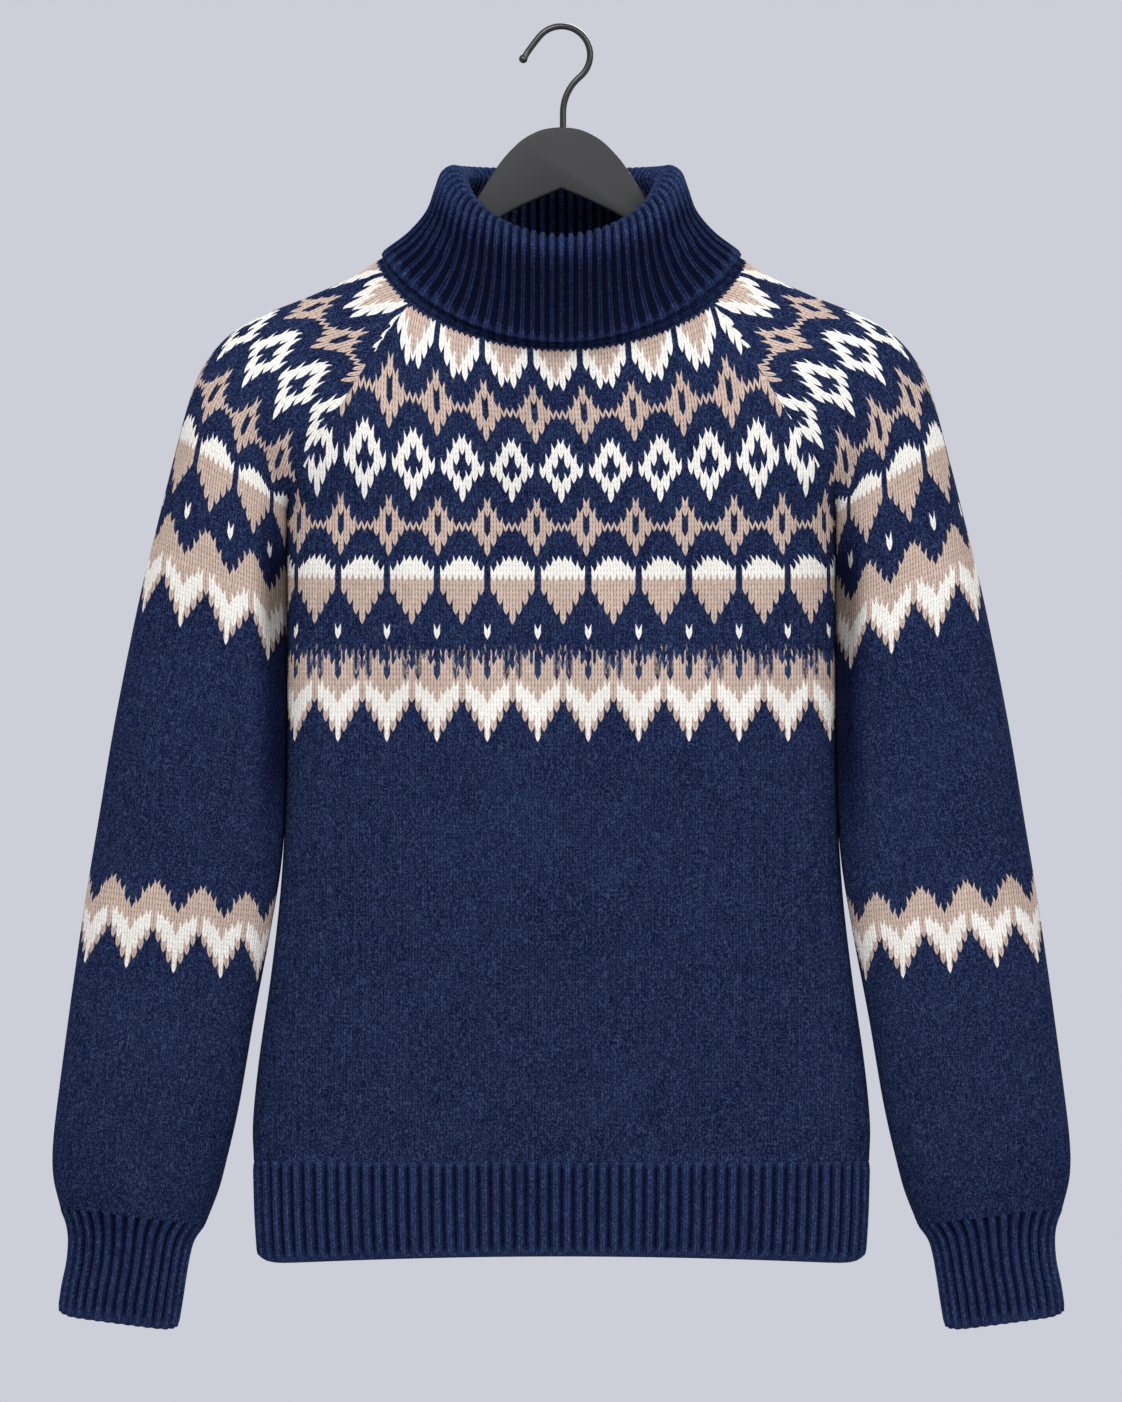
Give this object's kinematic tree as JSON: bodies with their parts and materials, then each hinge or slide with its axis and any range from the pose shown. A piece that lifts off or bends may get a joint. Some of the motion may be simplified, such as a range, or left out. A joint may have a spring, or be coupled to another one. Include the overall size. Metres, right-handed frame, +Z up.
{
  "type": "fair isle jumper on hanger",
  "caption": "Hip-length fair isle jumper with raglan sleeves, ribbed hem and cuffs and a folded roll collar, hanging on a flat coat hanger with a wire hook.",
  "frame": {"origin": "inside top of the hook's bend, where a rail carries the hanger", "axes": "+Z up; front of the jumper towards -Y; the wearer's left towards +X"},
  "size_m": [0.6598, 0.1418, 0.8456],
  "materials": {
    "navy_knit": "matt stranded wool knit, navy ground with cream and taupe motifs on the yoke",
    "navy_rib": "matt one-by-one wool rib",
    "charcoal_hanger": "matt soft-touch charcoal",
    "black_wire": "satin black enamel"
  },
  "bodies": {
    "root": {"front": "navy_knit", "back": "navy_knit", "sleeve_left": "navy_knit", "sleeve_right": "navy_knit", "hem_rib": "navy_rib", "cuff_left": "navy_rib", "cuff_right": "navy_rib", "roll_collar": "navy_rib", "hanger": "charcoal_hanger", "hook": "black_wire"}
  },
  "joints": []
}
